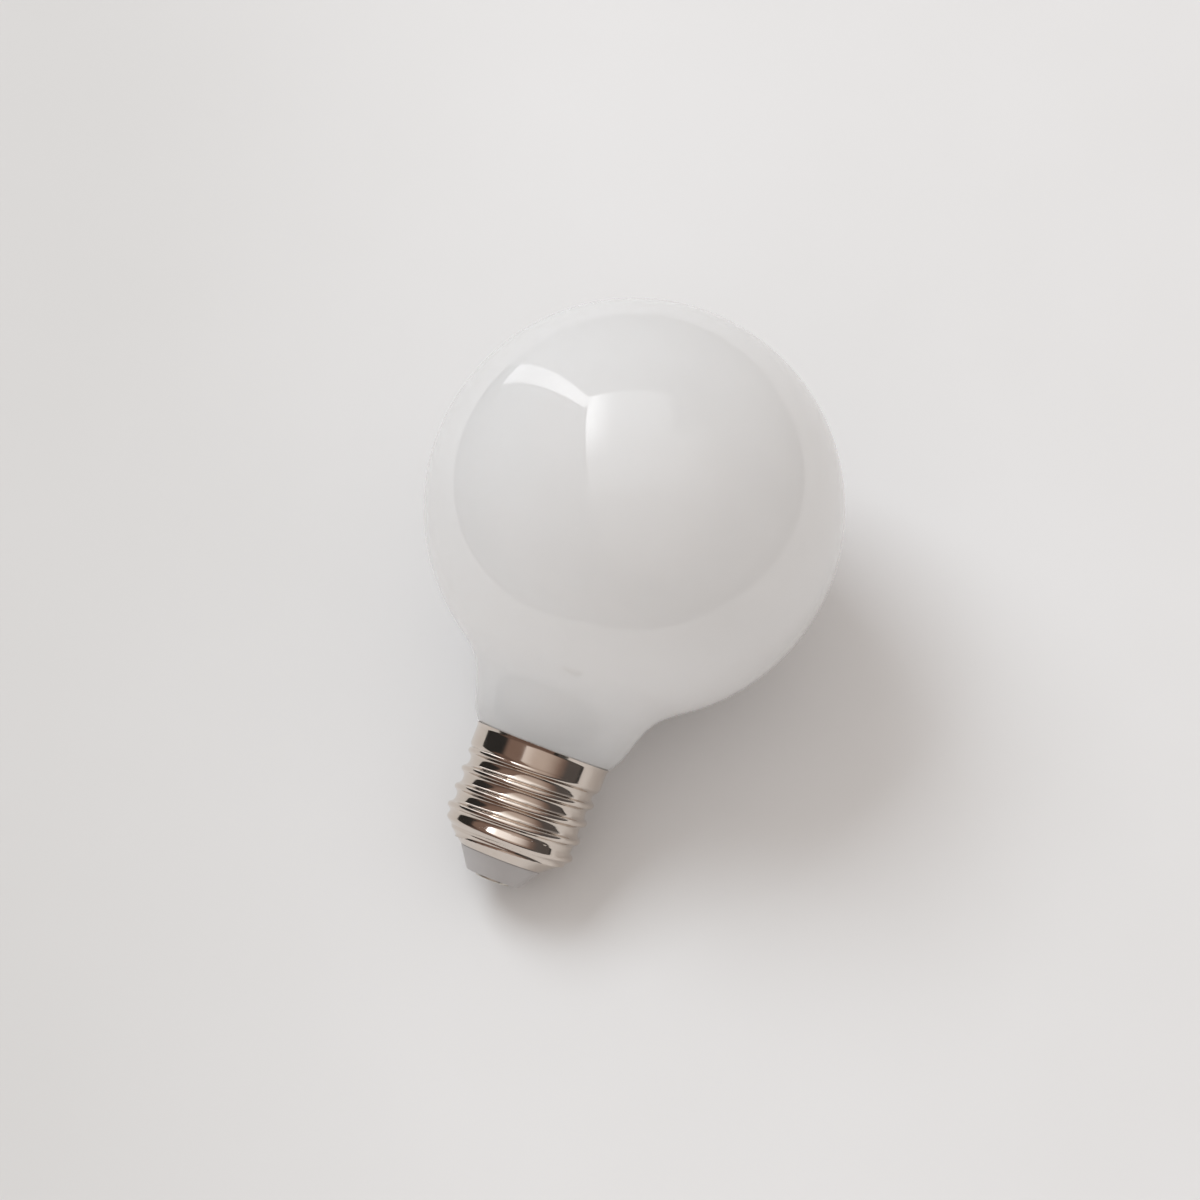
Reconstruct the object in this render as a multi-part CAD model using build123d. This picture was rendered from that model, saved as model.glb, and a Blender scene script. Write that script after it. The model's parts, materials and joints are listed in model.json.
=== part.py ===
from build123d import *
import os
from math import asin, atan2, cos, degrees, hypot, radians, sin, sqrt

# An LED lamp: an 80 mm opal glass globe on a 27 mm Edison screw cap. All sizes are in mm.
# The lamp is drawn about its own axis, with the origin at the globe's centre and Z towards the
# end contact. Then it is laid down as it comes to rest on a table, on its globe and its cap.

# Opal glass globe, blown with its neck
globe_diameter = 80.0
overall_length = 115.4
neck_top_diameter = 46.6       # where the hollow of the neck leaves the sphere
neck_pull = 7.4                # how far that hollow holds the direction of each of its ends
neck_taper_angle = 18.0
neck_shoulder_diameter = 30.3
neck_shoulder_drop = 3.5       # shoulder of the neck to the rim of the cap
neck_edge_overhang = 0.13      # the glass that shows ends this far outside the collar
neck_edge_radius = 0.5
spigot_play = 0.38             # plain end of the neck, inside the cap, to the sheet round it
rim_gap = 0.2                  # dark line between the glass and the rim

# Screw cap, pressed and rolled from thin plated sheet
cap_height = 27.2              # rim to end contact
sheet = 0.3
rim_flare = 0.28               # how far the rim stands out from the collar
rim_flare_height = 0.6
rim_flare_radius = 0.6
collar_over_crest = 0.02       # the thread's first turn comes out from under the collar
collar_height = 4.9            # rim to the step down to the thread's root
collar_step_height = 0.6
collar_step_radius = 0.8
shoulder_under_crest = 0.45    # corner of the last ring, before it is rounded
shoulder_height = 8.4          # the same corner to the end contact
shoulder_rise = 1.6
shoulder_radius = 0.7
tail_diameter = 16.2           # where the sheet ends on the insulator
tail_height = 4.6

# Rolled right-hand screw thread, with equal arcs for its crests and roots
thread_pitch = 25.4 / 7
thread_crest_diameter = 26.2
thread_depth = 1.05
thread_land_rise = 0.03        # leaves a narrow plain land between two turns
thread_tuck = 0.5              # the crest starts this far inside the end of the collar
thread_start_angle = 56.0
thread_run_out = 2.3           # end of the last full turn to the corner of the shoulder
thread_fade_turns = 0.75
thread_fade_depth = 1.7
thread_seat = 0.5              # depth to which the rolled ridge is set into the shell under it
groove_wall = 0.35             # sheet left between a crest and the groove behind it
groove_floor = 0.7             # width of that groove at the crest
groove_mouth = 2.4

# Cement that holds the neck in the collar
cement_from_rim = 1.0
cement_from_step = 0.6

# Moulded insulator, held by the turned-in end of the sheet
insulator_gap = 0.06           # dark line between the sheet's edge and the insulator
insulator_step = 0.1           # the insulator's edge lies this far inside the sheet's edge
insulator_neck_play = 0.05
insulator_face_diameter = 10.5
insulator_face_bevel = 0.2
insulator_flange_diameter = 21.0
insulator_flange_height = 9.0  # flange inside the cap to the end contact

# End contact, a headed pin pressed into the insulator
contact_diameter = 6.8
contact_height = 0.45
contact_bevel = 0.2
pin_diameter = 2.4
pin_length = 5.5

globe_radius = globe_diameter / 2
tip = overall_length - globe_radius
rim = tip - cap_height
tail = tip - tail_height
face = tip - contact_height
flange = tip - insulator_flange_height
step = rim + collar_height
shoulder = tip - shoulder_height
crest_radius = thread_crest_diameter / 2
root_radius = crest_radius - thread_depth
core_radius = root_radius + thread_land_rise
collar_radius = crest_radius + collar_over_crest
shoulder_corner = crest_radius - shoulder_under_crest
spigot_radius = core_radius - sheet - spigot_play
thread_start = step - thread_tuck
thread_full_turns = (shoulder - thread_run_out - thread_start) / thread_pitch
thread_arc = (thread_pitch ** 2 / 4 + thread_depth ** 2) / (4 * thread_depth)


def turned(section):
    """Solid of revolution of a closed half section drawn as X for radius and Y for height."""
    return revolve(Plane.XZ * section, Axis.Z)


def outline(*points):
    """Closed half section with straight sides."""
    return make_face(Polyline(*points, close=True))


def corner(section, point):
    """The corner of a section that lies nearest to a point."""
    return section.vertices().sort_by_distance(point)[0]


def make_globe():
    top_radius = neck_top_diameter / 2
    top = Vector(top_radius, sqrt(globe_radius ** 2 - top_radius ** 2))
    along_sphere = Vector(-top.Y, top.X) / globe_radius
    taper_angle = radians(neck_taper_angle)
    along_taper = Vector(-sin(taper_angle), cos(taper_angle))
    neck_shoulder = Vector(neck_shoulder_diameter / 2, rim - neck_shoulder_drop)
    edge = Vector(collar_radius + neck_edge_overhang, rim - rim_gap)
    bowl = ThreePointArc((0, -globe_radius), (globe_radius, 0), top)
    hollow = Bezier(top, top + along_sphere * neck_pull, neck_shoulder - along_taper * neck_pull,
                    neck_shoulder)
    skirt = TangentArc(neck_shoulder, edge, tangent=along_taper)
    spigot = Polyline(edge, (spigot_radius, edge.Y), (spigot_radius, flange), (0, flange),
                      (0, -globe_radius))
    section = make_face(Curve() + [bowl, hollow, skirt, spigot])
    return turned(fillet(corner(section, edge), neck_edge_radius))


# Line of the pressed sheet's outside before the thread is rolled, from its rim to its tail
cap_corners = (
    (collar_radius + rim_flare, rim),
    (collar_radius, rim + rim_flare_height),
    (collar_radius, step),
    (core_radius, step + collar_step_height),
    (core_radius, shoulder - shoulder_rise),
    (shoulder_corner, shoulder),
    (tail_diameter / 2, tail),
)
cap_bends = (rim_flare_radius, collar_step_radius, collar_step_radius, shoulder_radius,
             shoulder_radius)


def cap_solids():
    """The cap's full outside and the space inside its sheet, both without the thread."""
    outer = FilletPolyline(*cap_corners, radius=cap_bends)
    inner = Wire(Polyline(*cap_corners).edges()).offset_2d(
        sheet, kind=Kind.INTERSECTION, side=Side.LEFT, closed=False)
    by_height = inner.vertices().sort_by(Axis.Y)
    rim_in, tail_in = by_height[0].center(), by_height[-1].center()
    rim_axis, tail_axis = (0, rim_in.Y), (0, tail_in.Y)
    ends = Polyline(tail_in, tail_axis, rim_axis, rim_in)
    space = make_face(Curve() + [*inner.edges(), ends])
    ends = Polyline(cap_corners[-1], tail_in, tail_axis, rim_axis, rim_in, cap_corners[0])
    body = make_face(Curve() + [outer, ends])
    return turned(body), turned(space)


def on_arc(centre, start, end, radius):
    """The point of an arc half way between its ends."""
    x = (start[0] + end[0]) / 2 - centre[0]
    y = (start[1] + end[1]) / 2 - centre[1]
    share = radius / hypot(x, y)
    return (centre[0] + x * share, centre[1] + y * share)


def ridge_section():
    """One turn of the thread: a round crest between two hollow flanks, set into the core."""
    half_pitch = thread_pitch / 2
    root_centre = root_radius + thread_arc
    half_foot = half_pitch - sqrt(thread_arc ** 2 - (root_centre - core_radius) ** 2)
    side = ((crest_radius - thread_arc + root_centre) / 2, half_pitch / 2)
    foot = (core_radius, half_foot)
    hollow = on_arc((root_centre, half_pitch), foot, side, thread_arc)

    def below(point):
        return (point[0], -point[1])

    return Plane.XZ * make_face(Curve() + [
        ThreePointArc(below(foot), below(hollow), below(side)),
        ThreePointArc(below(side), (crest_radius, 0), side),
        ThreePointArc(side, hollow, foot),
        Polyline(foot, (core_radius - thread_seat, half_foot),
                 (core_radius - thread_seat, -half_foot), below(foot)),
    ])


def groove_section():
    """The groove that the rolling leaves behind each crest, inside the sheet."""
    top = crest_radius - groove_wall
    bottom = core_radius - sheet
    return Plane.XZ * outline(
        (top, groove_floor / 2), (top, -groove_floor / 2),
        (bottom, -groove_mouth / 2), (bottom - thread_seat, -groove_mouth / 2),
        (bottom - thread_seat, groove_mouth / 2), (bottom, groove_mouth / 2),
    )


def rolled(section):
    """A section carried along the thread, at one radius and then sinking away at the end."""
    full_height = thread_pitch * thread_full_turns
    fade_height = thread_pitch * thread_fade_turns
    fade_angle = degrees(atan2(thread_fade_depth, fade_height))
    fade_pitch = thread_pitch / cos(radians(fade_angle))
    full_path = Helix(thread_pitch, full_height, crest_radius)
    fade_path = Helix(fade_pitch, fade_height, crest_radius, cone_angle=-fade_angle)
    full = sweep(section, full_path, is_frenet=True)
    fade = sweep(section, fade_path, is_frenet=True)
    turn_on = Location((0, 0, full_height), (0, 0, 360 * thread_full_turns))
    start = Location((0, 0, thread_start), (0, 0, thread_start_angle))
    return start * (full + turn_on * fade)


def make_shell(body, space):
    return (body + rolled(ridge_section())) - (space + rolled(groove_section()))


def make_cement():
    outer = collar_radius - sheet
    near = rim + cement_from_rim
    far = step - cement_from_step
    return turned(outline((spigot_radius, near), (outer, near), (outer, far), (spigot_radius, far)))


def make_insulator(space):
    edge = tail_diameter / 2 - insulator_step
    mouth = space.bounding_box().max.Z
    neck = space.faces().sort_by(Axis.Z)[-1].bounding_box().max.X - insulator_neck_play
    face_edge = (insulator_face_diameter / 2, face)
    nose = outline((0, mouth), (neck, mouth), (neck, tail + insulator_gap),
                   (edge, tail + insulator_gap), face_edge, (0, face))
    nose = chamfer(corner(nose, face_edge), insulator_face_bevel)
    flange_disc = outline((0, flange), (insulator_flange_diameter / 2, flange),
                          (insulator_flange_diameter / 2, mouth), (0, mouth))
    hole = outline((0, face - pin_length), (pin_diameter / 2, face - pin_length),
                   (pin_diameter / 2, face), (0, face))
    return (turned(nose) + (turned(flange_disc) & space)) - turned(hole)


def make_contact():
    head = contact_diameter / 2
    pin = pin_diameter / 2
    section = outline((0, face - pin_length), (pin, face - pin_length), (pin, face), (head, face),
                      (head, tip), (0, tip))
    return turned(chamfer(corner(section, (head, tip)), contact_bevel))


def rest_tilt():
    """How far the axis dips, in degrees, when the cap is lowered until it meets the table."""
    cap_line = FilletPolyline(*cap_corners, radius=cap_bends)
    last_bend = cap_line.edges().filter_by(GeomType.CIRCLE).sort_by(Axis.Y)[-1]
    touching = (
        (last_bend.arc_center.Y, last_bend.arc_center.X, last_bend.radius),
        (shoulder - thread_run_out, crest_radius - thread_arc, thread_arc),
        (tail, tail_diameter / 2, 0),
        (face, insulator_face_diameter / 2, 0),
    )
    return degrees(min(asin((globe_radius - bend) / hypot(along, out)) - atan2(out, along)
                       for along, out, bend in touching))


cap_body, cap_space = cap_solids()
pieces = {
    "opal_globe": make_globe(),
    "capping_cement": make_cement(),
    "screw_shell": make_shell(cap_body, cap_space),
    "insulator": make_insulator(cap_space),
    "end_contact": make_contact(),
}

lying = Location((0, 0, globe_radius), (90 + rest_tilt(), 0, 0))
reach = Compound([lying * pieces[name] for name in ("opal_globe", "insulator", "end_contact")])
place = Location((0, -reach.bounding_box().center().Y, 0)) * lying

os.makedirs("parts", exist_ok=True)
for name, piece in pieces.items():
    export_step(place * piece, f"parts/{name}.step")
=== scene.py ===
import json
import math
import bpy
from mathutils import Matrix, Vector


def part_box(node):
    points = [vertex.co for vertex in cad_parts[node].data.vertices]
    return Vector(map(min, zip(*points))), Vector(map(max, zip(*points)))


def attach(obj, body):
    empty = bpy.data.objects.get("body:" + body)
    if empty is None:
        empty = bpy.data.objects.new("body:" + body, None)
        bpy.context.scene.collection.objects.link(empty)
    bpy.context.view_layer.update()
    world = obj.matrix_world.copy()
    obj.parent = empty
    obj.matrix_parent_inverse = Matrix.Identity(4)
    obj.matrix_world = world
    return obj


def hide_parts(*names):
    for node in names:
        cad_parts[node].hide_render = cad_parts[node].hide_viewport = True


# A globe lamp in opal glass, lying on a white table. Lengths in the dictionaries are in mm.
# Each piece is made about the lamp's own axis: X for radius, Z from the globe's centre to the
# end contact. One matrix then lays it where the CAD lamp lies.

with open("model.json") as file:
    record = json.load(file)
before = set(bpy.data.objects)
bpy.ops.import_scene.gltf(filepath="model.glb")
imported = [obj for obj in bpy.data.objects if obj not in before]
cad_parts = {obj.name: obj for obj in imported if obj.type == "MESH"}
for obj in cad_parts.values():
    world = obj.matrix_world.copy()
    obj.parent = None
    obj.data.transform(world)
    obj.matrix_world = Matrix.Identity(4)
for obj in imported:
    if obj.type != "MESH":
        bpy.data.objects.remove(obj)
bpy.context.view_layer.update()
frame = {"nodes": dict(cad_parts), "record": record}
mm = 0.001

globe = {
    "diameter": 80.0,
    "neckTopDiameter": 46.6,        # where the hollow of the neck leaves the sphere
    "neckPull": 7.4,
    "neckTaperAngle": 18.0,
    "neckShoulderDiameter": 30.3,
    "neckShoulderDrop": 3.5,        # shoulder of the neck to the rim of the cap
    "edgeRadius": 13.25,
    "edgeRounding": 0.55,
    "spigotRadius": 11.4,
    "spigotRounding": 0.3,
    "gapToRim": 0.2,
    "around": 420,
    "bowlSteps": 170,
    "hollowSteps": 36,
    "skirtSteps": 10,
    "crease": 50,                   # corners over this many degrees stay crisp
}

cap = {
    "height": 27.2,
    "sheet": 0.3,
    "collarRadius": 13.12,
    "rimFlare": 0.28,
    "rimFlareHeight": 0.6,
    "collarHeight": 4.4,
    "stepHeight": 1.0,
    "coreRadius": 12.08,
    "shoulderRadius": 12.5,
    "shoulderFromTip": 8.4,
    "shoulderRise": 1.6,
    "waistInset": 1.4,              # shallow waist in the end cone, from the shoulder's corner
    "waistDrop": 0.95,
    "bellyInset": 0.29,
    "bellyDrop": 0.65,
    "tailRadius": 8.1,
    "tailFromTip": 4.6,
    "bends": (0.6, 1.3, 1.3, 0.7, 0.7, 0.25, 0.25),     # radii of the inner corners, from the rim
    "pitch": 25.4 / 7,
    "crestRadius": 13.07,
    "crestRound": 0.65,             # radius of a crest; the root's follows from it
    "threadDepth": 1.05,
    "threadTuck": 1.8,              # the crest starts this far inside the end of the collar
    "startAngle": 238.0,
    "runOut": 0.7,                  # end of the last full turn to the shoulder's corner
    "fadeTurns": 0.6,
    "fadeDepth": 2.8,
    "mostTurns": 6,
    "blend": 0.16,                  # how softly the thread runs into the plain sheet
    "around": 300,
    "rowStep": 0.13,
    "innerRows": 4,                 # rows of the outside to one row of the inside
    "slopeStep": 0.02,              # how far off the slopes for the normals are taken
}

insulator = {
    "play": 0.03,                   # to the inside of the sheet
    "stepInside": 0.1,
    "gapToSheet": 0.06,
    "faceRadius": 5.25,
    "faceRounding": 0.4,
    "rimRounding": 0.12,
    "flangeRadius": 10.4,
    "flangeFromTip": 9.0,
    "flangeRim": 0.3,
    "holeRadius": 1.2,
    "coneStep": 0.1,
    "rowStep": 0.6,
    "around": 128,
    "crease": 35,
}

contact = {
    "radius": 3.4,
    "height": 0.45,
    "rounding": 0.25,
    "pinRadius": 1.2,
    "pinLength": 5.5,
    "rowStep": 0.4,
    "around": 96,
    "crease": 40,
}

camera = {
    "distance": 700.0,
    "elevation": 61.41,
    "turn": 23.38,                  # degrees that the camera stands round to +X
    "right": -6.53,
    "up": -17.28,
    "lens": 110.57,
    "sensor": 36.0,
}

table = {
    "left": 190.0,                  # edges from the globe's centre, seen from the camera
    "right": 380.0,
    "front": 430.0,
    "back": 360.0,
    "surround": 6000.0,
}

# Where the lamp lies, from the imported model
globeRadius = globe["diameter"] / 2
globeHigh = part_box("opal_globe")[1]
globeCentre = Vector((0, globeHigh.y - globeRadius * mm, globeRadius * mm))
endFace = next(m for m in frame["record"]["mounts"] if m["name"] == "end_contact_face")
lampAxis = Vector(endFace["axis"]).normalized()
tip = (Vector(endFace["pos_m"]) - globeCentre).dot(lampAxis) / mm
rim = tip - cap["height"]
acrossAxis = Vector((1, 0, 0))
upAxis = lampAxis.cross(acrossAxis)
lampTurn = Matrix((acrossAxis, upAxis, lampAxis)).transposed()
lampMatrix = Matrix.Translation(globeCentre) @ lampTurn.to_4x4()
print("lamp axis", tuple(round(v, 4) for v in lampAxis), "tip at", round(tip, 3), "mm")


def linear(hexColour):
    # sRGB hex to the linear colour that shaders take
    parts = [int(hexColour[i:i + 2], 16) / 255 for i in (1, 3, 5)]
    parts = [p / 12.92 if p <= 0.04045 else ((p + 0.055) / 1.055) ** 2.4 for p in parts]
    return (*parts, 1.0)


def addNode(tree, kind, settings=None, links=None):
    # One node, with its settings (attributes, or sockets by name or number) and its links
    node = tree.nodes.new(kind)
    for key, value in (settings or {}).items():
        if isinstance(key, str) and hasattr(node, key):
            setattr(node, key, value)
        else:
            node.inputs[key].default_value = value
    for key, source in (links or {}).items():
        tree.links.new(source, node.inputs[key])
    return node


def newMaterial(name):
    # A material with no nodes but the place of each point about the lamp's own axis, in metres
    material = bpy.data.materials.new(name)
    material.use_nodes = True
    tree = material.node_tree
    tree.nodes.clear()
    rowPlace = addNode(tree, "ShaderNodeTexCoord").outputs["Object"]
    place = addNode(tree, "ShaderNodeMapping",
                    {"vector_type": "TEXTURE", "Location": globeCentre,
                     "Rotation": lampMatrix.to_euler()},
                    {"Vector": rowPlace})
    return material, tree, place.outputs[0]


# Sections
def arcPoints(centre, radius, start, end, steps):
    # Points on an arc, without its first one
    found = []
    for i in range(1, steps + 1):
        angle = start + (end - start) * i / steps
        found.append((centre[0] + radius * math.cos(angle), centre[1] + radius * math.sin(angle)))
    return found


def tangentArc(start, direction, end, steps):
    # Arc that leaves start along direction and ends in end, without its first point
    chord = Vector(end) - Vector(start)
    normal = Vector((-direction.y, direction.x))
    radius = chord.length_squared / (2 * chord.dot(normal))
    centre = Vector(start) + normal * radius
    first = math.atan2(start[1] - centre.y, start[0] - centre.x)
    last = math.atan2(end[1] - centre.y, end[0] - centre.x)
    swept = (last - first + math.pi) % (2 * math.pi) - math.pi
    return arcPoints(centre, abs(radius), first, first + swept, steps)


def bezierPoints(a, b, c, d, steps):
    # Points on a Bezier curve, without its first one
    found = []
    for i in range(1, steps + 1):
        t = i / steps
        point = a * (1 - t) ** 3 + b * 3 * t * (1 - t) ** 2 + c * 3 * t * t * (1 - t) + d * t ** 3
        found.append((point.x, point.y))
    return found


def roundedLine(corners, bends, arcSteps=6):
    # A line through the corners, each inner one rounded to its radius
    found = [tuple(corners[0])]
    for i in range(1, len(corners) - 1):
        here = Vector(corners[i])
        back = (Vector(corners[i - 1]) - here).normalized()
        ahead = (Vector(corners[i + 1]) - here).normalized()
        radius = bends[i - 1]
        half = back.angle(ahead) / 2
        if radius <= 0 or half > math.pi / 2 - 0.01:
            found.append(tuple(here))
            continue
        reach = radius / math.tan(half)
        start = here + back * reach
        end = here + ahead * reach
        found.append(tuple(start))
        found += tangentArc(start, -back, end, arcSteps)
    found.append(tuple(corners[-1]))
    return found


def evenLine(points, step):
    # The same line, with points added so that none lie more than step apart
    found = [points[0]]
    for a, b in zip(points, points[1:]):
        count = max(1, math.ceil(math.dist(a, b) / step))
        for i in range(1, count + 1):
            found.append((a[0] + (b[0] - a[0]) * i / count, a[1] + (b[1] - a[1]) * i / count))
    return found


# Meshes
def finishPiece(name, points, faces, node, material):
    # A smooth piece from points about the lamp's own axis, laid in place of its CAD node
    mesh = bpy.data.meshes.new(name)
    mesh.from_pydata([lampMatrix @ (Vector(p) * mm) for p in points], [], faces)
    mesh.validate()
    mesh.update()
    piece = bpy.data.objects.new(name, mesh)
    bpy.context.scene.collection.objects.link(piece)
    mesh.shade_smooth()
    mesh.materials.append(material)
    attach(piece, "root")
    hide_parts(node)
    print(name, "has", sum(len(f) - 2 for f in faces), "triangles")
    return piece


def turnedMesh(profile, around):
    # Closed surface of a profile that starts and ends on the axis, from low to high along it
    points = [(0, 0, profile[0][1])]
    faces = []
    rings = profile[1:-1]
    for radius, along in rings:
        for i in range(around):
            angle = 2 * math.pi * i / around
            points.append((radius * math.cos(angle), radius * math.sin(angle), along))
    last = len(points)
    points.append((0, 0, profile[-1][1]))
    for i in range(around):
        j = (i + 1) % around
        faces.append((0, 1 + j, 1 + i))
        for row in range(len(rings) - 1):
            low = 1 + row * around
            faces.append((low + i, low + j, low + around + j, low + around + i))
        top = last - around
        faces.append((top + i, top + j, last))
    return points, faces


def sharpenByAngle(piece, degreesLimit):
    # Keeps the piece smooth but leaves its real corners crisp
    piece.data.set_sharp_from_angle(angle=math.radians(degreesLimit))


# Materials
def makeOpalGlass():
    # Opal glass, blown: milk white all through, with a polished skin that mirrors the room.
    # Light enters the globe and comes out far from there, which evens out its shaded side.
    material, tree, place = newMaterial("opalGlass")
    # Slow waves that blowing leaves, about 18 mm apart and under 0.01 mm high
    waves = addNode(tree, "ShaderNodeTexNoise", {"Scale": 1000 / 18, "Detail": 1.5, "Roughness": 0.4},
                    {"Vector": place}).outputs["Fac"]
    # Dust under the skin, in points about 5.5 mm apart
    specks = addNode(tree, "ShaderNodeTexVoronoi", {"Scale": 1000 / 5.5, "Randomness": 1.0},
                     {"Vector": place}).outputs["Distance"]
    speckSpots = addNode(tree, "ShaderNodeMapRange",
                         {"From Min": 0.03, "From Max": 0.07, "To Min": 0.03, "To Max": 0.0},
                         {"Value": specks}).outputs["Result"]
    # Finger marks that only show in the gloss, about 12 mm across
    smears = addNode(tree, "ShaderNodeTexNoise", {"Scale": 1000 / 12, "Detail": 5.0, "Distortion": 0.6},
                     {"Vector": place}).outputs["Fac"]
    gloss = addNode(tree, "ShaderNodeMapRange",
                    {"From Min": 0.45, "From Max": 0.75, "To Min": 0.012, "To Max": 0.03},
                    {"Value": smears}).outputs["Result"]
    tint = addNode(tree, "ShaderNodeMix",
                   {"data_type": "RGBA", 6: linear("#c5c4c4"), 7: linear("#cac9c9")},
                   {0: waves}).outputs[2]
    # The glass is paler from the middle of the globe to the neck
    alongAxis = addNode(tree, "ShaderNodeSeparateXYZ", links={"Vector": place}).outputs["Z"]
    towardsNeck = addNode(tree, "ShaderNodeMapRange",
                      {"interpolation_type": "SMOOTHSTEP", "From Min": 12 * mm, "From Max": 44 * mm},
                      {"Value": alongAxis}).outputs["Result"]
    paleTowardsNeck = addNode(tree, "ShaderNodeMix", {"data_type": "RGBA", 7: linear("#dcdbdb")},
                    {0: towardsNeck, 6: tint}).outputs[2]
    clouded = addNode(tree, "ShaderNodeMix", {"data_type": "RGBA", 7: linear("#f4f4f4")},
                      {0: speckSpots, 6: paleTowardsNeck}).outputs[2]
    bump = addNode(tree, "ShaderNodeBump", {"Strength": 0.04, "Distance": 0.2 * mm},
                   {"Height": waves}).outputs["Normal"]
    skin = addNode(tree, "ShaderNodeBsdfPrincipled",
                   {"IOR": 1.5, "Subsurface Weight": 1.0, "Subsurface Radius": (1.0, 0.97, 0.94),
                    "Subsurface Scale": 160 * mm},
                   {"Base Color": clouded, "Roughness": gloss, "Normal": bump})
    addNode(tree, "ShaderNodeOutputMaterial", links={"Surface": skin.outputs[0]})
    return material


def makeNickelPlate():
    # Nickel plate on brass sheet, pressed and rolled: a warm mirror, drawn into fine rings.
    material, tree, place = newMaterial("nickelPlate")
    # Rings that the rolling tool leaves, about 0.5 mm apart along the axis
    ringPlace = addNode(tree, "ShaderNodeMapping", {"Scale": (30, 30, 1000 / 0.5)},
                        {"Vector": place})
    rings = addNode(tree, "ShaderNodeTexNoise", {"Scale": 1.0, "Detail": 3.0},
                    {"Vector": ringPlace.outputs[0]}).outputs["Fac"]
    # Stains and dull patches, about 3 mm across
    stains = addNode(tree, "ShaderNodeTexNoise", {"Scale": 1000 / 3, "Detail": 4.0, "Roughness": 0.6},
                     {"Vector": place}).outputs["Fac"]
    # Grain of the plate, about 0.3 mm
    grain = addNode(tree, "ShaderNodeTexNoise", {"Scale": 1000 / 0.3, "Detail": 2.0},
                    {"Vector": place}).outputs["Fac"]
    tint = addNode(tree, "ShaderNodeMix",
                   {"data_type": "RGBA", 6: linear("#d2c6bb"), 7: linear("#ddd4cb")},
                   {0: stains}).outputs[2]
    dull = addNode(tree, "ShaderNodeMapRange",
                   {"From Min": 0.35, "From Max": 0.75, "To Min": 0.07, "To Max": 0.16},
                   {"Value": stains}).outputs["Result"]
    height = addNode(tree, "ShaderNodeMath", {"operation": "MULTIPLY_ADD", 1: 0.35},
                     {0: grain, 2: rings})
    bump = addNode(tree, "ShaderNodeBump", {"Strength": 0.04, "Distance": 0.01 * mm},
                   {"Height": height.outputs[0]}).outputs["Normal"]
    plate = addNode(tree, "ShaderNodeBsdfPrincipled", {"Metallic": 1.0},
                    {"Base Color": tint, "Roughness": dull, "Normal": bump})
    addNode(tree, "ShaderNodeOutputMaterial", links={"Surface": plate.outputs[0]})
    return material


def makeGreyMoulding():
    # PBT, moulded: an even light grey with a half gloss and the fine grain of its mould.
    material, tree, place = newMaterial("greyMoulding")
    # Mould grain, about 0.4 mm
    grain = addNode(tree, "ShaderNodeTexNoise", {"Scale": 1000 / 0.4, "Detail": 2.0},
                    {"Vector": place}).outputs["Fac"]
    # Flow marks, about 4 mm across
    flow = addNode(tree, "ShaderNodeTexNoise", {"Scale": 1000 / 4, "Detail": 2.0, "Distortion": 0.8},
                   {"Vector": place}).outputs["Fac"]
    tint = addNode(tree, "ShaderNodeMix",
                   {"data_type": "RGBA", 6: linear("#aba7a6"), 7: linear("#b1adac")},
                   {0: flow}).outputs[2]
    gloss = addNode(tree, "ShaderNodeMapRange", {"To Min": 0.34, "To Max": 0.46},
                    {"Value": grain}).outputs["Result"]
    bump = addNode(tree, "ShaderNodeBump", {"Strength": 0.15, "Distance": 0.01 * mm},
                   {"Height": grain}).outputs["Normal"]
    skin = addNode(tree, "ShaderNodeBsdfPrincipled", {"IOR": 1.55},
                   {"Base Color": tint, "Roughness": gloss, "Normal": bump})
    addNode(tree, "ShaderNodeOutputMaterial", links={"Surface": skin.outputs[0]})
    return material


def makeContactMetal():
    # Plated steel, stamped: a cooler and duller metal than the cap, with fine wear.
    material, tree, place = newMaterial("contactMetal")
    # Wear from a holder's spring, about 0.6 mm across
    wear = addNode(tree, "ShaderNodeTexNoise", {"Scale": 1000 / 0.6, "Detail": 4.0},
                   {"Vector": place}).outputs["Fac"]
    tint = addNode(tree, "ShaderNodeMix",
                   {"data_type": "RGBA", 6: linear("#c4beb4"), 7: linear("#d8d3ca")},
                   {0: wear}).outputs[2]
    dull = addNode(tree, "ShaderNodeMapRange", {"To Min": 0.2, "To Max": 0.4},
                   {"Value": wear}).outputs["Result"]
    bump = addNode(tree, "ShaderNodeBump", {"Strength": 0.2, "Distance": 0.01 * mm},
                   {"Height": wear}).outputs["Normal"]
    plate = addNode(tree, "ShaderNodeBsdfPrincipled", {"Metallic": 1.0},
                    {"Base Color": tint, "Roughness": dull, "Normal": bump})
    addNode(tree, "ShaderNodeOutputMaterial", links={"Surface": plate.outputs[0]})
    return material


def makeCement():
    # Capping cement, set: matt and chalky, with grains of about 0.6 mm.
    material, tree, place = newMaterial("cappingCement")
    grit = addNode(tree, "ShaderNodeTexNoise", {"Scale": 1000 / 0.6, "Detail": 5.0, "Roughness": 0.7},
                   {"Vector": place}).outputs["Fac"]
    tint = addNode(tree, "ShaderNodeMix",
                   {"data_type": "RGBA", 6: linear("#c9c2b2"), 7: linear("#dcd6c8")},
                   {0: grit}).outputs[2]
    dull = addNode(tree, "ShaderNodeMapRange", {"To Min": 0.85, "To Max": 0.95},
                   {"Value": grit}).outputs["Result"]
    bump = addNode(tree, "ShaderNodeBump", {"Strength": 0.5, "Distance": 0.05 * mm},
                   {"Height": grit}).outputs["Normal"]
    skin = addNode(tree, "ShaderNodeBsdfPrincipled", {"IOR": 1.5},
                   {"Base Color": tint, "Roughness": dull, "Normal": bump})
    addNode(tree, "ShaderNodeOutputMaterial", links={"Surface": skin.outputs[0]})
    return material


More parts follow.
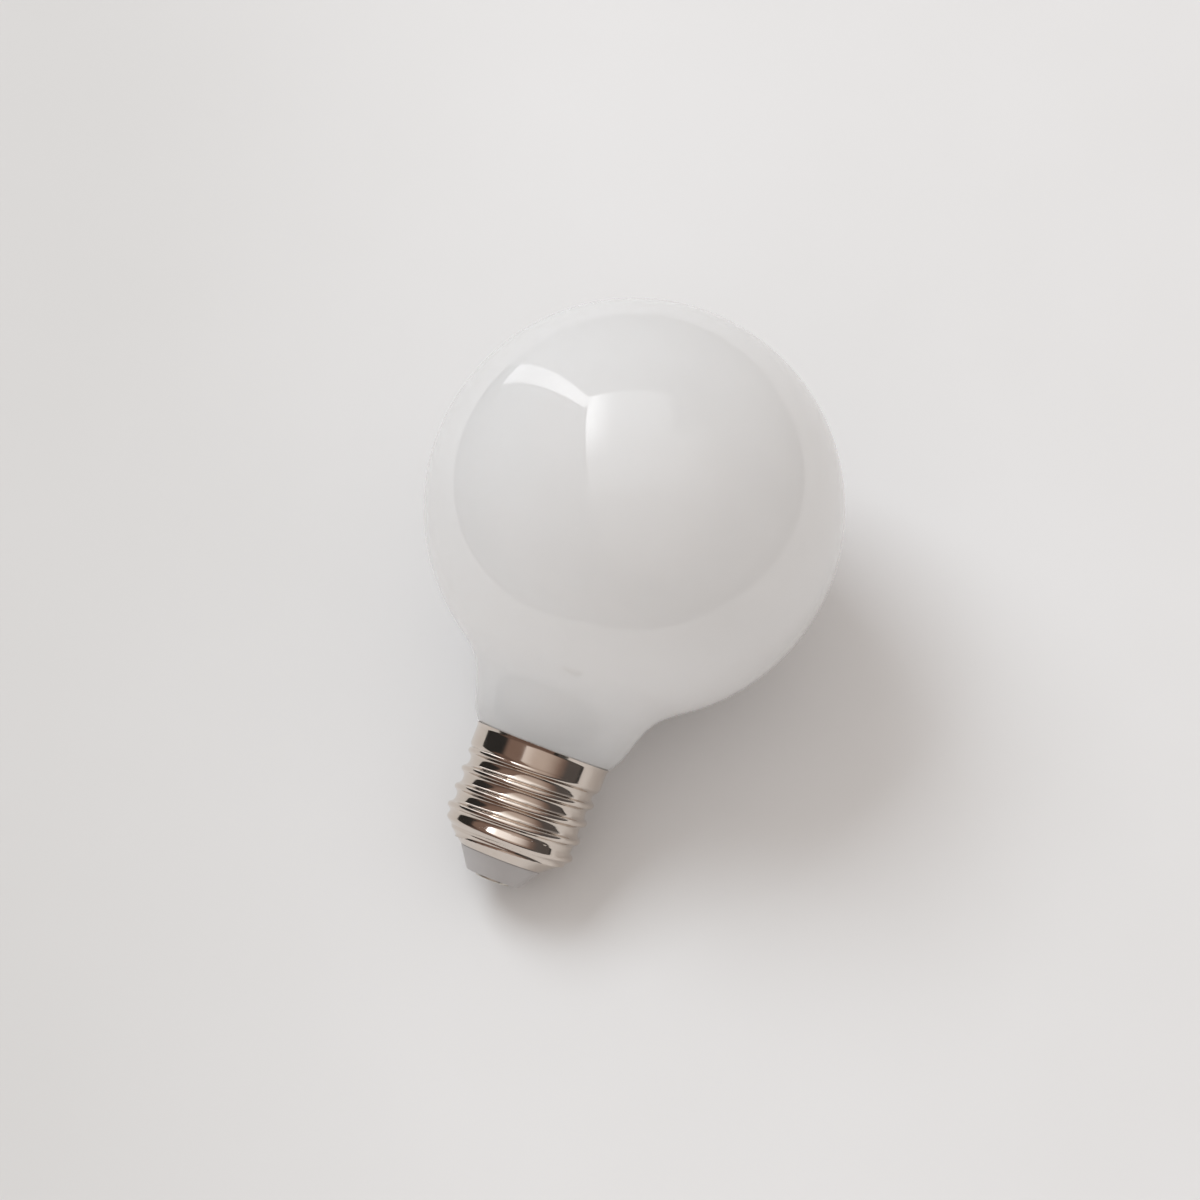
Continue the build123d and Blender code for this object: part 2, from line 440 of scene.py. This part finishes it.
def makeWhiteTable():
    # White emulsion on board: matt, with a fine tooth and faint clouds about 60 mm across, and painted
    # shade towards its left side.
    material, tree, place = newMaterial("whiteTable")
    # Tooth of the paint, about 1 mm
    tooth = addNode(tree, "ShaderNodeTexNoise", {"Scale": 1000 / 1.0, "Detail": 3.0},
                    {"Vector": place}).outputs["Fac"]
    clouds = addNode(tree, "ShaderNodeTexNoise", {"Scale": 1000 / 60, "Detail": 3.0},
                     {"Vector": place}).outputs["Fac"]
    tint = addNode(tree, "ShaderNodeMix",
                   {"data_type": "RGBA", 6: linear("#e2e0df"), 7: linear("#e8e6e6")},
                   {0: clouds}).outputs[2]
    # Painted shade: the table's colour is made a little greyer towards its left side, where its light
    # falls off
    ownPlace = addNode(tree, "ShaderNodeTexCoord").outputs["Object"]
    across = addNode(tree, "ShaderNodeSeparateXYZ", links={"Vector": ownPlace}).outputs["X"]
    shade = addNode(tree, "ShaderNodeMapRange",
                    {"interpolation_type": "SMOOTHSTEP", "From Min": -0.14, "From Max": 0.0,
                     "To Min": 0.5, "To Max": 0.0},
                    {"Value": across}).outputs["Result"]
    shaded = addNode(tree, "ShaderNodeMix", {"data_type": "RGBA", 7: linear("#c4c1be")},
                     {0: shade, 6: tint}).outputs[2]
    bump = addNode(tree, "ShaderNodeBump", {"Strength": 0.12, "Distance": 0.03 * mm},
                   {"Height": tooth}).outputs["Normal"]
    skin = addNode(tree, "ShaderNodeBsdfPrincipled", {"IOR": 1.45, "Roughness": 0.75},
                   {"Base Color": shaded, "Normal": bump})
    addNode(tree, "ShaderNodeOutputMaterial", links={"Surface": skin.outputs[0]})
    return material


# Pieces
def makeGlobe(material):
    top = Vector((globe["neckTopDiameter"] / 2, 0))
    top.y = math.sqrt(globeRadius ** 2 - top.x ** 2)
    alongSphere = Vector((-top.y, top.x)) / globeRadius
    taper = math.radians(globe["neckTaperAngle"])
    alongTaper = Vector((-math.sin(taper), math.cos(taper)))
    shoulder = Vector((globe["neckShoulderDiameter"] / 2, rim - globe["neckShoulderDrop"]))
    edge = Vector((globe["edgeRadius"], rim - globe["gapToRim"]))
    bowlEnd = math.atan2(top.y, top.x)
    profile = [(0, -globeRadius)]
    profile += arcPoints((0, 0), globeRadius, -math.pi / 2, bowlEnd, globe["bowlSteps"])
    profile += bezierPoints(top, top + alongSphere * globe["neckPull"],
                            shoulder - alongTaper * globe["neckPull"], shoulder, globe["hollowSteps"])
    skirt = tangentArc(shoulder, alongTaper, edge, globe["skirtSteps"])
    inside = tip - insulator["flangeFromTip"]
    spigot = globe["spigotRadius"]
    close = roundedLine([skirt[-2], edge, (spigot, edge.y), (spigot, inside)],
                        [globe["edgeRounding"], globe["spigotRounding"]])
    profile += skirt[:-2] + close + [(0, inside)]
    points, faces = turnedMesh(profile, globe["around"])
    piece = finishPiece("opalGlobe", points, faces, "opal_globe", material)
    sharpenByAngle(piece, globe["crease"])


def capLine():
    # Outside of the sheet before the thread is rolled, rim to tail
    step = rim + cap["collarHeight"]
    shoulder = tip - cap["shoulderFromTip"]
    waist = cap["shoulderRadius"] - cap["waistInset"]
    corners = [
        (cap["collarRadius"] + cap["rimFlare"], rim),
        (cap["collarRadius"], rim + cap["rimFlareHeight"]),
        (cap["collarRadius"], step),
        (cap["coreRadius"], step + cap["stepHeight"]),
        (cap["coreRadius"], shoulder - cap["shoulderRise"]),
        (cap["shoulderRadius"], shoulder),
        (waist, shoulder + cap["waistDrop"]),
        (waist - cap["bellyInset"], shoulder + cap["waistDrop"] + cap["bellyDrop"]),
        (cap["tailRadius"], tip - cap["tailFromTip"]),
    ]
    return roundedLine(corners, cap["bends"])


def threadRadius(angle, along):
    # Radius of the rolled thread at a place on the cap, the highest of the turns that pass there
    pitch, depth, crest = cap["pitch"], cap["threadDepth"], cap["crestRadius"]
    bothRounds = (pitch ** 2 / 4 + depth ** 2) / (2 * depth)
    crestRound = cap["crestRound"]
    rootRound = bothRounds - crestRound
    start = rim + cap["collarHeight"] - cap["threadTuck"]
    fullTurns = (tip - cap["shoulderFromTip"] - cap["runOut"] - start) / pitch
    phase = ((math.degrees(angle) - cap["startAngle"]) % 360) / 360
    best = 0.0
    for whole in range(cap["mostTurns"]):
        turns = whole + phase
        away = abs(along - start - pitch * turns)
        if away > pitch / 2 or turns > fullTurns + cap["fadeTurns"]:
            continue
        if away < pitch / 2 * crestRound / bothRounds:
            height = crest - crestRound + math.sqrt(crestRound ** 2 - away ** 2)
        else:
            height = crest - depth + rootRound - math.sqrt(rootRound ** 2 - (pitch / 2 - away) ** 2)
        fade = max(0.0, turns - fullTurns) / cap["fadeTurns"]
        best = max(best, height - cap["fadeDepth"] * fade)
    return best


def softMax(a, b, blend):
    # The larger of two radii, rounded where they meet
    overlap = max(blend - abs(a - b), 0.0) / blend
    return max(a, b) + overlap * overlap * blend / 4


def rolledRadius(place, slope, angle, further=0.0, onwards=0.0):
    # Radius of the rolled sheet, a little further along its line or onwards around the cap
    radius, along = place
    thread = threadRadius(angle + onwards / radius, along + slope.y * further)
    return softMax(radius + slope.x * further, thread, cap["blend"])


def makeShell(material):
    # The normals come from the rolled form itself, so the gloss doesn't show the mesh
    around = cap["around"]
    line = evenLine(capLine(), cap["rowStep"])
    rows = len(line)
    reach = cap["slopeStep"]
    points = []
    normals = []
    for row, place in enumerate(line):
        slope = (Vector(line[min(row + 1, rows - 1)]) - Vector(line[max(row - 1, 0)])).normalized()
        for i in range(around):
            angle = 2 * math.pi * i / around
            out = Vector((math.cos(angle), math.sin(angle), 0))
            side = Vector((-out.y, out.x, 0))
            rise = (rolledRadius(place, slope, angle, further=reach)
                    - rolledRadius(place, slope, angle, further=-reach)) / (2 * reach)
            swell = (rolledRadius(place, slope, angle, onwards=reach)
                     - rolledRadius(place, slope, angle, onwards=-reach)) / (2 * reach)
            points.append(out * rolledRadius(place, slope, angle) + Vector((0, 0, place[1])))
            alongStep = out * rise + Vector((0, 0, slope.y))
            normals.append((side + out * swell).cross(alongStep).normalized())
    # The inside follows the outside at the thickness of the sheet
    innerRows = list(range(0, rows - 1, cap["innerRows"])) + [rows - 1]
    inner = [points[row * around + i] - normals[row * around + i] * cap["sheet"]
             for row in innerRows for i in range(around)]
    innerNormals = [-normals[row * around + i] for row in innerRows for i in range(around)]
    faces = []
    base = len(points)
    for i in range(around):
        j = (i + 1) % around
        for row in range(rows - 1):
            low = row * around
            faces.append((low + i, low + j, low + around + j, low + around + i))
        for k in range(len(innerRows) - 1):
            low = base + k * around
            faces.append((low + j, low + i, low + around + i, low + around + j))
    # The two cut edges of the sheet have points of their own, so that they stay crisp
    rimEdge = points[:around] + inner[:around]
    tailEdge = points[-around:] + inner[-around:]
    rimBase = base + len(inner)
    tailBase = rimBase + 2 * around
    for i in range(around):
        j = (i + 1) % around
        faces.append((rimBase + around + i, rimBase + around + j, rimBase + j, rimBase + i))
        faces.append((tailBase + i, tailBase + j, tailBase + around + j, tailBase + around + i))
    rimNormals = [Vector((0, 0, -1))] * (2 * around)
    tailNormals = [Vector((0, 0, 1))] * (2 * around)
    piece = finishPiece("screwShell", points + inner + rimEdge + tailEdge, faces,
                        "screw_shell", material)
    piece.data.normals_split_custom_set_from_vertices(
        [lampTurn @ n for n in normals + innerNormals + rimNormals + tailNormals])


def makeInsulator(material):
    tail = tip - cap["tailFromTip"]
    face = tip - contact["height"]
    edge = cap["tailRadius"] - insulator["stepInside"]
    flange = tip - insulator["flangeFromTip"]
    # The flange lies against the inside of the end cone, one sheet in from its outside
    outside = evenLine(capLine(), insulator["coneStep"])
    depth = cap["sheet"] + insulator["play"]
    inside = []
    for a, b in zip(outside, outside[1:]):
        slope = (Vector(b) - Vector(a)).normalized()
        inside.append((Vector(a) + Vector(b)) / 2 + Vector((-slope.y, slope.x)) * depth)
    lowest = flange + insulator["flangeRim"]
    against = [tuple(p) for p in inside if p.y > lowest and p.x < insulator["flangeRadius"]]
    neck = (against[-1][0] - insulator["play"], tail + insulator["gapToSheet"])
    nose = roundedLine([
        neck,
        (edge, tail + insulator["gapToSheet"]),
        (insulator["faceRadius"], face),
        (insulator["holeRadius"], face),
        (insulator["holeRadius"], face - contact["pinLength"]),
    ], [insulator["rimRounding"], insulator["faceRounding"], 0])
    line = [(insulator["flangeRadius"], flange)] + against + nose
    profile = [(0, flange)] + evenLine(line, insulator["rowStep"]) + [(0, line[-1][1])]
    points, faces = turnedMesh(profile, insulator["around"])
    piece = finishPiece("insulatorNose", points, faces, "insulator", material)
    sharpenByAngle(piece, insulator["crease"])


def makeContact(material):
    face = tip - contact["height"]
    corners = [
        (contact["pinRadius"], face - contact["pinLength"]),
        (contact["pinRadius"], face),
        (contact["radius"], face),
        (contact["radius"], tip),
        (0, tip),
    ]
    line = roundedLine(corners, [0, 0, contact["rounding"]])
    rows = evenLine(line[:-1], contact["rowStep"])
    profile = [(0, face - contact["pinLength"])] + rows + [(0, tip)]
    points, faces = turnedMesh(profile, contact["around"])
    piece = finishPiece("endContact", points, faces, "end_contact", material)
    sharpenByAngle(piece, contact["crease"])


# Table, light and camera
turn = math.radians(camera["turn"])
toRight = Vector((math.cos(turn), math.sin(turn), 0))
toBack = Vector((-math.sin(turn), math.cos(turn), 0))


def makeTable(material):
    # The board ends near the lamp, and the glass and the cap mirror its edges. The ring round it
    # only fills the view from other sides, so they don't mirror that.
    turnMatrix = Matrix.Translation((globeCentre.x, globeCentre.y, 0)) @ Matrix.Rotation(turn, 4, "Z")
    left, right, front, back = (table[k] * mm for k in ("left", "right", "front", "back"))
    reach = table["surround"] * mm
    inner = [(-left, -front, 0), (right, -front, 0), (right, back, 0), (-left, back, 0)]
    outer = [(-reach, -reach, 0), (reach, -reach, 0), (reach, reach, 0), (-reach, reach, 0)]
    ringFaces = [(4 + i, 4 + (i + 1) % 4, (i + 1) % 4, i) for i in range(4)]
    parts = (("tableBoard", inner, [(0, 1, 2, 3)], True),
             ("tableRound", inner + outer, ringFaces, False))
    for name, points, faces, mirrored in parts:
        mesh = bpy.data.meshes.new(name)
        mesh.from_pydata(points, [], faces)
        mesh.materials.append(material)
        part = bpy.data.objects.new(name, mesh)
        bpy.context.scene.collection.objects.link(part)
        part.matrix_world = turnMatrix
        part.visible_glossy = mirrored


window = {
    "azimuth": -47.0,               # degrees to the right of straight away from the camera
    "elevation": 53.0,
    "distance": 2.0,                # metres, as its width and height are
    "width": 1.1,
    "height": 0.95,
    "power": 20.3,
    "colour": (0.86, 0.94, 1.0),
}


def makeLights():
    # One window, back left and high, beside the even light of the room. Together they light a
    # white surface on the table to about its own colour.
    azimuth, elevation = math.radians(window["azimuth"]), math.radians(window["elevation"])
    direction = (toRight * math.sin(azimuth) + toBack * math.cos(azimuth)) * math.cos(elevation)
    direction.z = math.sin(elevation)
    lamp = bpy.data.lights.new("window", "AREA")
    lamp.shape = "RECTANGLE"
    lamp.size = window["width"]
    lamp.size_y = window["height"]
    lamp.energy = window["power"]
    lamp.color = window["colour"]
    light = bpy.data.objects.new("window", lamp)
    bpy.context.scene.collection.objects.link(light)
    light.location = globeCentre + direction * window["distance"]
    light.rotation_euler = (-direction).to_track_quat("-Z", "Y").to_euler()
    light.visible_glossy = False
    light.visible_camera = False


# What the gloss mirrors, each layer over the ones before it. A layer fades in from the first
# value of each of its sides to the second. Right and away are places on the ceiling, in heights
# of the ceiling over the lamp, as the camera sees them. Turn is in radians from straight away.
room = {
    "ambient": 0.7,
    "ambientColour": (1.0, 0.955, 0.915, 1.0),
    "dark": (0.03, 0.029, 0.028, 1.0),
    "lowest": 0.02,                 # keeps places on the ceiling finite near the horizon
    "layers": [
        # brown floor and walls behind the camera
        ((0.16, 0.105, 0.085), [("turn", -1.5, -1.75), ("up", -0.05, 0.05)]),
        ((0.24, 0.165, 0.135), [("right", -1.6, -1.1), ("right", 3.2, 0.9), ("up", 0.28, 0.46)]),
        ((0.1, 0.09, 0.087), [("right", 0.7, 2.2), ("up", 0.0, 0.05)]),
        # ceiling, paler towards the window
        ((0.6, 0.51, 0.455), [("right", -0.48, -0.46), ("right", 1.2, 0.1), ("away", -2.4, -0.5)]),
        ((1.3, 1.26, 1.24), [("right", -0.48, -0.46), ("right", 1.3, -0.25), ("away", -0.55, -0.1)]),
        ((1.6, 1.62, 1.65), [("right", -0.48, -0.46), ("right", 1.0, -0.3), ("away", -0.1, 0.5)]),
        ((6.0, 6.0, 6.1), [("right", -0.48, -0.46), ("right", -0.15, -0.46), ("away", -0.1, 0.4)]),
        # far wall, which starts where the ceiling ends, and its beam
        ((0.4, 0.38, 0.37), [("away", 0.73, 0.75), ("turn", -0.58, -0.56), ("turn", 1.7, 0.5)]),
        ((0.4, 0.38, 0.37),
         [("away", 0.25, 0.27), ("right", 0.35, 0.37), ("turn", 1.7, 0.5), ("up", 0.0, 0.1)]),
        # side of the window, brightest at its top
        ((2.0, 2.0, 2.05),
         [("turn", -0.72, -0.70), ("turn", -0.56, -0.58), ("up", -0.1, -0.06), ("up", 0.8, 0.77)]),
        ((4.4, 4.4, 4.5),
         [("turn", -0.72, -0.70), ("turn", -0.56, -0.58), ("up", 0.1, 0.77), ("up", 0.8, 0.77)]),
    ],
}


def makeRoom():
    # Gloss mirrors the layers, matt surfaces get an even light, and the camera sees a pale ground
    world = bpy.data.worlds.new("room")
    bpy.context.scene.world = world
    world.use_nodes = True
    tree = world.node_tree
    tree.nodes.clear()
    way = addNode(tree, "ShaderNodeTexCoord").outputs["Generated"]
    turned = addNode(tree, "ShaderNodeVectorRotate", {"rotation_type": "Z_AXIS", "Angle": -turn},
                     {"Vector": way})
    side, depth, up = addNode(tree, "ShaderNodeSeparateXYZ", links={0: turned.outputs[0]}).outputs
    height = addNode(tree, "ShaderNodeMath", {"operation": "MAXIMUM", 1: room["lowest"]},
                     {0: up}).outputs[0]
    measures = {"up": up}
    for measure, operation, top, bottom in (("right", "DIVIDE", side, height),
                                            ("away", "DIVIDE", depth, height),
                                            ("turn", "ARCTAN2", side, depth)):
        measures[measure] = addNode(tree, "ShaderNodeMath", {"operation": operation},
                                    {0: top, 1: bottom}).outputs[0]
    seen = None
    for light, sides in room["layers"]:
        share = None
        for measure, none, full in sides:
            links = {"Value": measures[measure]}
            if share:
                links["To Max"] = share
            share = addNode(tree, "ShaderNodeMapRange",
                            {"interpolation_type": "SMOOTHSTEP", "From Min": none, "From Max": full},
                            links).outputs["Result"]
        links = {0: share}
        if seen:
            links[6] = seen
        seen = addNode(tree, "ShaderNodeMix",
                       {"data_type": "RGBA", 6: room["dark"], 7: (*light, 1.0)}, links).outputs[2]
    mirrored = addNode(tree, "ShaderNodeBackground", {"Strength": 1.0}, {"Color": seen})
    ambient = addNode(tree, "ShaderNodeBackground",
                      {"Color": room["ambientColour"], "Strength": room["ambient"]})
    pale = addNode(tree, "ShaderNodeBackground", {"Color": linear("#e4e2e1"), "Strength": 1.0})
    path = addNode(tree, "ShaderNodeLightPath").outputs
    lit = addNode(tree, "ShaderNodeMixShader",
                  links={0: path["Is Glossy Ray"], 1: ambient.outputs[0], 2: mirrored.outputs[0]})
    shown = addNode(tree, "ShaderNodeMath", {"operation": "MAXIMUM"},
                    {0: path["Is Camera Ray"], 1: path["Is Transmission Ray"]})
    whole = addNode(tree, "ShaderNodeMixShader",
                    links={0: shown.outputs[0], 1: lit.outputs[0], 2: pale.outputs[0]})
    addNode(tree, "ShaderNodeOutputWorld", links={"Surface": whole.outputs[0]})


def makeCamera():
    elevation = math.radians(camera["elevation"])
    outwards = -toBack * math.cos(elevation) + Vector((0, 0, math.sin(elevation)))
    upwards = toRight.cross(-outwards)
    data = bpy.data.cameras.new("camera")
    data.lens = camera["lens"]
    data.sensor_width = camera["sensor"]
    viewer = bpy.data.objects.new("camera", data)
    bpy.context.scene.collection.objects.link(viewer)
    place = outwards * camera["distance"] + toRight * camera["right"] + upwards * camera["up"]
    viewer.matrix_world = (Matrix.Translation(globeCentre + place * mm)
                           @ Matrix((toRight, upwards, outwards)).transposed().to_4x4())
    bpy.context.scene.camera = viewer


print("materials and pieces")
makeGlobe(makeOpalGlass())
makeShell(makeNickelPlate())
makeInsulator(makeGreyMoulding())
makeContact(makeContactMetal())
cement = frame["nodes"]["capping_cement"]
cement.data.materials.clear()
cement.data.materials.append(makeCement())

print("table, light and camera")
makeTable(makeWhiteTable())
makeLights()
makeRoom()
makeCamera()
bpy.context.scene.view_settings.view_transform = "Standard"

print("done")
